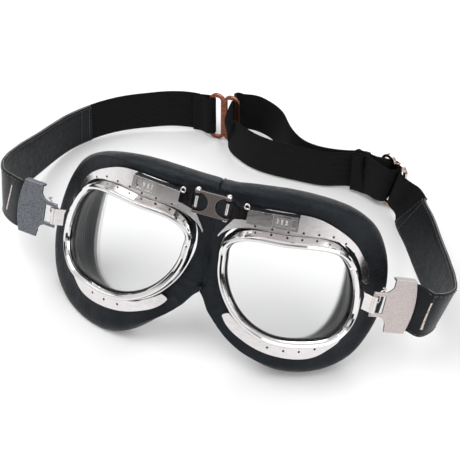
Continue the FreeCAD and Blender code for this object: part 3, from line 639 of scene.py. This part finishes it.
def build_nose_web():
    """The narrow leather gusset behind the seam of the two rolls."""
    rows = 60
    half = 0.8
    top, length = 7.2, 60.0
    back_face = 27.0
    points = []
    for i in range(rows):
        f = i / (rows - 1)
        front = 17.0 + 6.0 * (2 * f - 1) ** 6
        section = ((-half, front + 0.8), (-half * 0.6, front), (0.0, front + 0.6),
                   (half * 0.6, front), (half, front + 0.8), (half, back_face),
                   (0.0, back_face + 0.8), (-half, back_face))
        points += [(x, y, top - length * f) for x, y in section]
    obj = make_mesh("nose_gusset", lean(np.array(points)),
                    tube_faces(rows, len(section)), mask_leather)
    subdivide(obj, 1)
    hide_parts("mask_nose")
    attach(obj, "bridge")


build_nose_web()


# ---------------------------------------------------------------- strap paths
# A run is a list of stops: a point on the strap's lower edge and the way across the
# strap there, in the row frame before SHIFT is added.
def turned(centre, run, up):
    """A buckle's own frame: its centre, x along the strap, y out of its plane, z up."""
    z = unit(up)
    y = unit(np.cross(z, run))
    x = np.cross(y, z)
    return np.array(centre, float), x, y, z


LINK = turned((-40.2, 191.6, 18.7), (0.995, -0.10, 0), (-0.12, 0.05, 0.99))
SLIDER = turned((83.0, 167.6, 18.7), (0.80, -0.60, 0), (0.10, -0.04, 0.99))
UP_LINK = tuple(LINK[3])
UP_SLIDER = tuple(SLIDER[3])
UPRIGHT = (0.0, 0.0, 1.0)
BUCKLE_LOW = -14.25  # the strap's lower edge, below a buckle's centre
HINGE = (92.3, 27.5, -41.0)  # the right clip's hinge tab, in the goggles frame
CLIP_SWING = {"left": math.radians(-10), "right": math.radians(25)}
CLIP_BACK = 1.75  # where the strap starts in the clip's frame
CLIP_LOW = -15.0


def near(place, points):
    """Stops round a buckle's bars, from (along, out) points of the buckle's frame."""
    centre, x, y, z = place
    return [(tuple(centre + along * x + out * y + BUCKLE_LOW * z), tuple(z))
            for along, out in points]


def clip_point(side, x, y, z):
    """A point of the clip's own frame, before the origin's shift."""
    swing = CLIP_SWING[side]
    m = 1 if side == "right" else -1
    c, s = math.cos(swing), math.sin(swing)
    local = np.array([m * x * c - y * s + m * HINGE[0], m * x * s + y * c + HINGE[1],
                      z + HINGE[2]])
    return lean(local) - SHIFT


def strap_start(side):
    up = tuple(lean_direction((0, 0, 1)))
    return [(tuple(clip_point(side, x, CLIP_BACK, CLIP_LOW)), up)
            for x in (11.0, 15.0, 19.0, 23.0)]


LEATHER = {
    "left": strap_start("left") + [
        ((-124.0, 18.0, 32.6), (-0.02, 0.30, 0.95)),
        ((-130.2, 25.0, 30.4), (-0.08, 0.22, 0.97)),
        ((-134.4, 35.3, 26.8), (-0.14, 0.16, 0.98)),
        ((-137.6, 51.2, 20.4), (-0.18, 0.12, 0.98)),
        ((-139.6, 72.4, 12.8), (-0.17, 0.08, 0.98)),
        ((-139.6, 95.6, 6.4), (-0.12, 0.03, 0.99)),
        ((-137.0, 118.6, 3.0), (-0.09, 0.0, 0.99)),
        ((-132.0, 136.6, 1.6), (-0.09, -0.03, 0.99)),
        ((-124.5, 150.6, 1.2), (-0.11, -0.04, 0.99))],
    "right": strap_start("right") + [
        ((118.8, 16.0, 32.4), (0.03, 0.28, 0.96)),
        ((124.6, 21.6, 30.2), (0.12, 0.20, 0.97)),
        ((128.0, 31.1, 26.9), (0.17, 0.13, 0.97)),
        ((128.0, 43.8, 22.2), (0.20, 0.08, 0.97)),
        ((124.8, 62.9, 15.4), (0.25, 0.03, 0.96)),
        ((119.0, 84.1, 9.0), (0.34, -0.02, 0.94)),
        ((111.0, 107.6, 4.0), (0.44, -0.08, 0.90)),
        ((102.2, 129.6, 1.8), (0.53, -0.12, 0.84)),
        ((94.4, 147.6, 1.4), (0.57, -0.16, 0.80))],
}
LEFT_RUN = LEATHER["left"] + [
    ((-117.0, 160.1, 1.6), (-0.11, -0.03, 0.99)),
    ((-105.0, 171.1, 2.0), (-0.11, 0.0, 0.99)),
    ((-90.0, 181.1, 2.4), (-0.12, 0.02, 0.99)),
    ((-75.0, 188.6, 3.0), (-0.12, 0.04, 0.99)),
] + near(LINK, [(-21.0, 1.4), (-15.5, 2.1), (-12.4, 2.6), (-9.8, 2.5), (-7.8, 1.5),
                (-7.1, 0.0), (-7.8, -1.5), (-9.8, -2.5), (-12.4, -2.5), (-16.0, -0.9),
                (-23.5, -0.9)])
RIGHT_OUT = LEATHER["right"] + [
    ((92.6, 155.6, 2.2), (0.40, -0.12, 0.91)),
] + near(SLIDER, [(10.9, -3.1), (8.0, -2.2), (5.8, 0.2), (3.4, 3.2), (0.0, 4.2),
                  (-3.4, 3.2), (-5.8, 0.2), (-8.0, -2.2)]) + [
    ((72.4, 171.7, 4.4), UP_SLIDER), ((65.8, 174.6, 3.2), UPRIGHT),
    ((55.0, 174.2, 2.0), UPRIGHT), ((38.0, 170.8, 1.4), UPRIGHT),
    ((22.0, 172.6, 1.2), UPRIGHT), ((12.4, 179.6, 1.4), UPRIGHT),
    ((5.4, 189.6, 1.2), UPRIGHT), ((-0.6, 199.6, 1.2), UPRIGHT),
    ((-8.6, 206.6, 1.2), (-0.04, 0.02, 1.0)),
    ((-18.0, 209.2, 1.6), (-0.08, 0.03, 0.99)),
    ((-27.0, 207.2, 2.4), (-0.10, 0.04, 0.99)),
    ((-32.8, 201.6, 3.2), UP_LINK)]
RIGHT_BACK = near(LINK, [(6.3, 4.2), (6.1, 0.0), (6.5, -4.2)]) + [
    ((-31.6, 180.2, 3.0), (-0.10, 0.04, 0.99)),
    ((-24.6, 172.2, 2.4), (-0.06, 0.02, 1.0)),
    ((-13.0, 166.0, 1.8), UPRIGHT), ((0.0, 163.6, 1.4), UPRIGHT),
    ((14.0, 164.0, 1.2), UPRIGHT), ((28.0, 165.0, 1.2), UPRIGHT),
    ((42.0, 167.0, 1.4), UPRIGHT), ((55.0, 171.8, 1.8), UPRIGHT),
    ((63.1, 172.0, 2.6), UPRIGHT), ((69.8, 171.0, 3.8), UP_SLIDER),
] + near(SLIDER, [(-9.2, -5.0), (-6.2, -3.2), (-3.6, -0.2), (-2.3, 2.1), (0.0, 2.45),
                  (2.3, 2.0), (3.4, 0.1), (4.0, -3.4), (1.4, -7.2), (-4.6, -9.4)]) + [
    ((69.4, 166.0, 3.6), UP_SLIDER), ((64.0, 168.6, 2.4), UPRIGHT),
    ((58.7, 169.2, 1.8), UPRIGHT)]
RIGHT_RUN = RIGHT_OUT + RIGHT_BACK
STRAP_W = 28.5


def cubic(knots, values):
    """Second derivatives of the natural cubic spline through the values."""
    n = len(knots)
    h = np.diff(knots)
    system = np.eye(n)
    target = np.zeros_like(values)
    for i in range(1, n - 1):
        system[i, i - 1:i + 2] = h[i - 1], 2 * (h[i - 1] + h[i]), h[i]
        target[i] = 6 * ((values[i + 1] - values[i]) / h[i]
                         - (values[i] - values[i - 1]) / h[i - 1])
    return np.linalg.solve(system, target)


class Path:
    """A strap's lower edge with its width direction, measured along in millimetres."""

    STEP = 0.8
    TENSION = 0.75  # knots go by chord length to this power: tight turns stay round
    HALF_CHORD = 0.4  # how far on each side of a point its direction is taken

    def __init__(self, stops):
        at = np.array([s[0] for s in stops], float)
        up = np.array([s[1] for s in stops], float)
        chords = np.linalg.norm(np.diff(at, axis=0), axis=1)
        knots = np.concatenate([[0], np.cumsum(chords ** self.TENSION)])
        bend = cubic(knots, at)
        points, ups, starts = [], [], [0]
        for i, chord in enumerate(chords):
            h = knots[i + 1] - knots[i]
            parts = max(2, int(chord / self.STEP))
            for t in np.arange(parts) / parts:
                a, b = 1 - t, t
                points.append(a * at[i] + b * at[i + 1] + h * h / 6
                              * ((a ** 3 - a) * bend[i] + (b ** 3 - b) * bend[i + 1]))
                ups.append(a * up[i] + b * up[i + 1])
            starts.append(len(points))
        points.append(at[-1])
        ups.append(up[-1])
        self.points = np.array(points) + SHIFT
        self.ups = np.array(ups)
        self.run = distances(self.points)
        self.stop_at = self.run[starts]

    def interpolate(self, s, values):
        return np.array([np.interp(s, self.run, values[:, k]) for k in range(3)])

    def frame(self, s):
        """The point at s with the directions along, across and out of the strap."""
        t = unit(self.interpolate(s + self.HALF_CHORD, self.points)
                 - self.interpolate(s - self.HALF_CHORD, self.points))
        up = self.interpolate(s, self.ups)
        up = unit(up - t * (up @ t))
        return self.interpolate(s, self.points), t, up, unit(np.cross(up, t))

    def at(self, s, v, n):
        p, _, up, side = self.frame(s)
        return p + up * v + side * n


def edge_loop(width, thickness, low=0.0, splits=6):
    """The section of a band with rounded edges: (across, out) pairs."""
    r = thickness / 2
    loop = []
    for k in range(splits + 1):
        loop.append((low + r + (width - 2 * r) * k / splits, r))
    for angle in (45, 0, -45):
        a = math.radians(angle)
        loop.append((low + width - r + r * math.cos(a), r * math.sin(a)))
    for k in range(splits + 1):
        loop.append((low + width - r - (width - 2 * r) * k / splits, -r))
    for angle in (225, 180, 135):
        a = math.radians(angle)
        loop.append((low + r + r * math.cos(a), r * math.sin(a)))
    return loop


def band(name, path, start, end, loop, inset, material, step=1.1, wave=None):
    """A closed strap piece: the section loop, carried along path from start to end."""
    count = max(3, int((end - start) / step))
    points, uvs = [], []
    for i in range(count + 1):
        s = start + (end - start) * i / count
        p, _, up, side = path.frame(s)
        for v, n in loop:
            push = wave(s, v) if wave else 0.0
            points.append(p + up * v + side * (n + inset + push))
            uvs.append((s * MM, v * MM))
    faces = tube_faces(count + 1, len(loop))
    return make_mesh(name, points, faces, material, uvs)


STITCH_LENGTH = 1.9
STITCH_RADIUS = 0.26
STITCH_SIDES = 6
# (share of the length, lift in radii, share of the radius): both ends dive
STITCH_RINGS = ((-0.5, -0.5, 0.5), (-0.32, 0.35, 1.0), (0.0, 0.6, 1.0),
                (0.32, 0.35, 1.0), (0.5, -0.5, 0.5))


def stitch_points(centre, along, out):
    """One thread stitch: a short bar that dives at both ends."""
    across = unit(np.cross(along, out))
    points = []
    for f, lift, r in STITCH_RINGS:
        for j in range(STITCH_SIDES):
            a = 2 * math.pi * j / STITCH_SIDES
            points.append(centre + along * (f * STITCH_LENGTH)
                          + across * (STITCH_RADIUS * r * math.cos(a))
                          + out * (STITCH_RADIUS * (lift + r * math.sin(a))))
    return points


def stitches(name, rows, body):
    """Threads at (centre, along, out) places, joined in one piece."""
    points, faces = [], []
    for centre, along, out in rows:
        base = len(points)
        points += stitch_points(centre, along, out)
        faces += [tuple(base + k for k in f)
                  for f in tube_faces(len(STITCH_RINGS), STITCH_SIDES)]
    obj = make_mesh(name, points, faces, thread)
    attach(obj, body)


def edge_rows(path, start, end, face, margin=1.5, pitch=2.9):
    """Stitch places along both long edges of a band's face at offset face."""
    rows = []
    out_sign = 1 if face > 0 else -1
    for v in (margin, STRAP_W - margin):
        s = start
        while s < end:
            p, t, up, side = path.frame(s)
            rows.append((p + up * v + side * face, t, side * out_sign))
            s += pitch
    return rows


def cross_rows(path, s, face, margin=2.2, pitch=2.6):
    """Stitch places across a band's face, at s along it."""
    rows = []
    out_sign = 1 if face > 0 else -1
    p, _, up, side = path.frame(s)
    v = margin
    while v < STRAP_W - margin + 0.5:
        rows.append((p + up * v + side * face, up, side * out_sign))
        v += pitch
    return rows


LEATHER_T = 1.2
LINING_T = 0.9
ELASTIC_T = 1.5
LAYER = (LEATHER_T + LINING_T) / 2 + 0.05  # from the leather's middle to the lining's
THREAD_LIFT = 0.05
CREASE_DEPTH = 0.12
CREASE_WAVES = 4
LINING_INSET = 0.35
TRIM_T = 0.34
TRIM_LOWS = (0.0, STRAP_W - 0.5)  # the painted highlight lines, at the strap's two edges
TRIM_START, THREAD_START = 13.5, 15.0  # clear of the clip
END_SEAMS = (2.4, 9.6)  # the cross stitching's distances from the leather's end
JOIN_GAP = 0.1
TURN_GAP = 0.02

paths = {"left": Path(LEFT_RUN), "right": Path(RIGHT_RUN)}
leather_end = {side: paths[side].stop_at[len(LEATHER[side]) - 1] for side in paths}


def creases():
    """Slow cross folds of a worn strap."""
    waves = [(rng.uniform(0.10, 0.34), rng.uniform(0, 6.3), rng.uniform(-0.12, 0.12))
             for _ in range(CREASE_WAVES)]

    def push(s, v):
        edge = math.sin(math.pi * min(1.0, max(0.0, v / STRAP_W)))
        swing = sum(math.sin(a * s + b + c * v) for a, b, c in waves) / CREASE_WAVES
        return CREASE_DEPTH * edge * swing
    return push


for side, path in paths.items():
    inward = -1 if side == "left" else 1
    end = leather_end[side]
    outer = band("strap_outer_" + side, path, 0.0, end, edge_loop(STRAP_W, LEATHER_T),
                 0.0, strap_outer, wave=creases())
    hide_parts("strap_leather_" + side)
    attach(outer, "strap_" + side)
    lining = edge_loop(STRAP_W - 2 * LINING_INSET, LINING_T, LINING_INSET)
    inner = band("strap_inner_" + side, path, 0.0, end, lining, inward * LAYER,
                 strap_inner, wave=creases())
    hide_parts("strap_lining_" + side)
    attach(inner, "strap_" + side)
    # The strips along both edges of the outer leather carry the painted edge highlight.
    for k, low in enumerate(TRIM_LOWS):
        trim = band("strap_edge_%s_%d" % (side, k), path, TRIM_START, end - 0.4,
                    edge_loop(0.5, TRIM_T, low, 1), inward * (LEATHER_T / 2 + 0.07),
                    strap_edge_highlight)
        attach(trim, "strap_" + side)
    back_face = inward * (LAYER + LINING_T / 2 + THREAD_LIFT)
    front_face = -inward * (LEATHER_T / 2 + THREAD_LIFT)
    rows = edge_rows(path, THREAD_START, end - 1.0, back_face)
    rows += edge_rows(path, THREAD_START, end - 1.0, front_face)
    rows += cross_rows(path, end - END_SEAMS[0], back_face)
    rows += cross_rows(path, end - END_SEAMS[1], back_face)
    rows += cross_rows(path, end - END_SEAMS[0], front_face)
    stitches("strap_stitches_" + side, rows, "strap_" + side)


def elastic(name, path, start, end, body, node):
    obj = band(name, path, start, end, edge_loop(STRAP_W, ELASTIC_T), 0.0, elastic_look,
               step=0.9)
    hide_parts(node)
    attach(obj, body)


turn_at = paths["right"].stop_at[len(RIGHT_OUT) - 1]
elastic("webbing_left", paths["left"], leather_end["left"] + JOIN_GAP,
        paths["left"].run[-1], "strap_left", "elastic_left")
elastic("webbing_outer", paths["right"], leather_end["right"] + JOIN_GAP,
        turn_at - TURN_GAP, "strap_right", "elastic_right_outer")
elastic("webbing_inner", paths["right"], turn_at + TURN_GAP, paths["right"].run[-1],
        "strap_right", "elastic_right_inner")


FOIL_STEP = 0.8
FOIL_W = 1.5
FOIL_T = 0.1
FOIL_LIFT = 0.08
# (share of the width, height): a low crown across the bar
FOIL_SECTION = ((-0.5, 0.0), (-0.32, 0.16), (0.32, 0.16), (0.5, 0.0))


def foil_bar(side, out, start, end):
    """A thin straight bar of foil between (along, across) points of a strap's face."""
    start, end = np.array(start), np.array(end)
    run = end - start
    length = np.linalg.norm(run)
    parts = max(2, int(length / FOIL_STEP))
    across = np.array([-run[1], run[0]]) / length * FOIL_W
    points = []
    for i in range(parts + 1):
        middle = start + run * i / parts
        for k, lift in FOIL_SECTION:
            points.append(paths[side].at(*(middle + across * k),
                                         out * (LEATHER_T / 2 + FOIL_LIFT + lift)))
    faces = grid_faces(parts + 1, len(FOIL_SECTION), False, False)
    obj = make_mesh("foil_" + side, points, faces, foil)
    thick = obj.modifiers.new("thick", "SOLIDIFY")
    thick.thickness = FOIL_T * MM
    apply_modifiers(obj)
    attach(obj, "strap_" + side)


foil_bar("left", 1, (25.6, 5.6), (21.0, 22.8))
foil_bar("right", -1, (19.8, 5.2), (18.2, 22.6))


# ---------------------------------------------------------------- stage
def stage_material():
    m = Nodes("pale_floor", (0.9, 0.9, 0.9), 0.75)
    m.color(m.ramp(m.noise(60.0, 2.0), [(0.3, (0.895, 0.895, 0.895)),
                                        (0.7, (0.91, 0.91, 0.91))]))
    m.bump(m.noise(1.5, 2.0), 0.01)
    return m.material


def floor(size_m):
    mesh = bpy.data.meshes.new("floor")
    h = size_m / 2
    mesh.from_pydata([(-h, -h, 0), (h, -h, 0), (h, h, 0), (-h, h, 0)], [],
                     [(0, 1, 2, 3)])
    obj = bpy.data.objects.new("floor", mesh)
    mesh.materials.append(stage_material())
    bpy.context.scene.collection.objects.link(obj)


floor(8.0)
bpy.context.scene.view_settings.view_transform = "Standard"


def studio_sky(stops):
    """A white overhead that falls to a dark horizon, as polished metal mirrors it.

    Each stop is (height of the direction, from 0 at the horizon to 1, brightness).
    """
    world = bpy.data.worlds.new("studio")
    bpy.context.scene.world = world
    world.use_nodes = True
    tree = world.node_tree
    source = tree.nodes.new("ShaderNodeTexCoord")
    axes = tree.nodes.new("ShaderNodeSeparateXYZ")
    fade = tree.nodes.new("ShaderNodeValToRGB")
    while len(fade.color_ramp.elements) < len(stops):
        fade.color_ramp.elements.new(0.5)
    for element, (at, level) in zip(fade.color_ramp.elements, stops):
        element.position = at
        element.color = (level, level, level, 1.0)
    tree.links.new(source.outputs["Generated"], axes.inputs["Vector"])
    tree.links.new(axes.outputs["Z"], fade.inputs["Fac"])
    tree.links.new(fade.outputs["Color"], tree.nodes["Background"].inputs["Color"])
    tree.nodes["Background"].inputs["Strength"].default_value = 1.0


studio_sky([(0.0, 0.02), (0.16, 0.03), (0.24, 0.40), (0.34, 0.85), (0.56, 0.85),
            (0.64, 0.25), (0.72, 0.85), (1.0, 0.9)])


def area(name, at, aim, size, power):
    """A rectangular lamp: places and sizes in metres, power in watts."""
    light = bpy.data.lights.new(name, "AREA")
    light.shape = "RECTANGLE"
    light.size, light.size_y = size
    light.energy = power
    obj = bpy.data.objects.new(name, light)
    obj.location = at
    obj.rotation_mode = "QUATERNION"
    obj.rotation_quaternion = (Vector(aim) - Vector(at)).to_track_quat("-Z", "Y")
    bpy.context.scene.collection.objects.link(obj)


area("key", (-0.55, -0.35, 1.1), (0, 0, 0.04), (0.9, 0.7), 7.0)
area("fill", (0.9, -0.6, 0.7), (0, 0, 0.04), (0.7, 0.7), 4.0)
area("rear", (0.1, 1.1, 0.8), (0, 0.05, 0.03), (1.2, 0.5), 6.0)


# ---------------------------------------------------------------- camera
# Fitted to the photo: the angles are in the goggles frame, seen from the bridge.
CAMERA_TURN = math.radians(9.93)
CAMERA_RISE = math.radians(20.0)
CAMERA_ROLL = math.radians(11.6)
CAMERA_DISTANCE = 522.0
CAMERA_LENS = 79.67  # on a sensor 36 mm wide
CAMERA_SHIFT = (0.0398, -0.0543)


def place_camera():
    ct, st = math.cos(CAMERA_TURN), math.sin(CAMERA_TURN)
    ce, se = math.cos(CAMERA_RISE), math.sin(CAMERA_RISE)
    cr, sr = math.cos(CAMERA_ROLL), math.sin(CAMERA_ROLL)
    back = np.array([st * ce, -ct * ce, se])
    right = np.array([ct, st, 0.0])
    up = np.cross(back, right)
    axes = [lean_direction(v)
            for v in (cr * right + sr * up, cr * up - sr * right, back)]
    eye = (ORIGIN + axes[2] * CAMERA_DISTANCE) * MM
    data = bpy.data.cameras.new("camera")
    data.sensor_width = 36.0
    data.lens = CAMERA_LENS
    data.shift_x, data.shift_y = CAMERA_SHIFT
    data.clip_start = 0.01
    data.clip_end = 50.0
    camera = bpy.data.objects.new("camera", data)
    bpy.context.scene.collection.objects.link(camera)
    bpy.context.scene.camera = camera
    rows = [(*row, place) for row, place in zip(np.transpose(axes), eye)]
    camera.matrix_world = Matrix(rows + [(0, 0, 0, 1)])


place_camera()
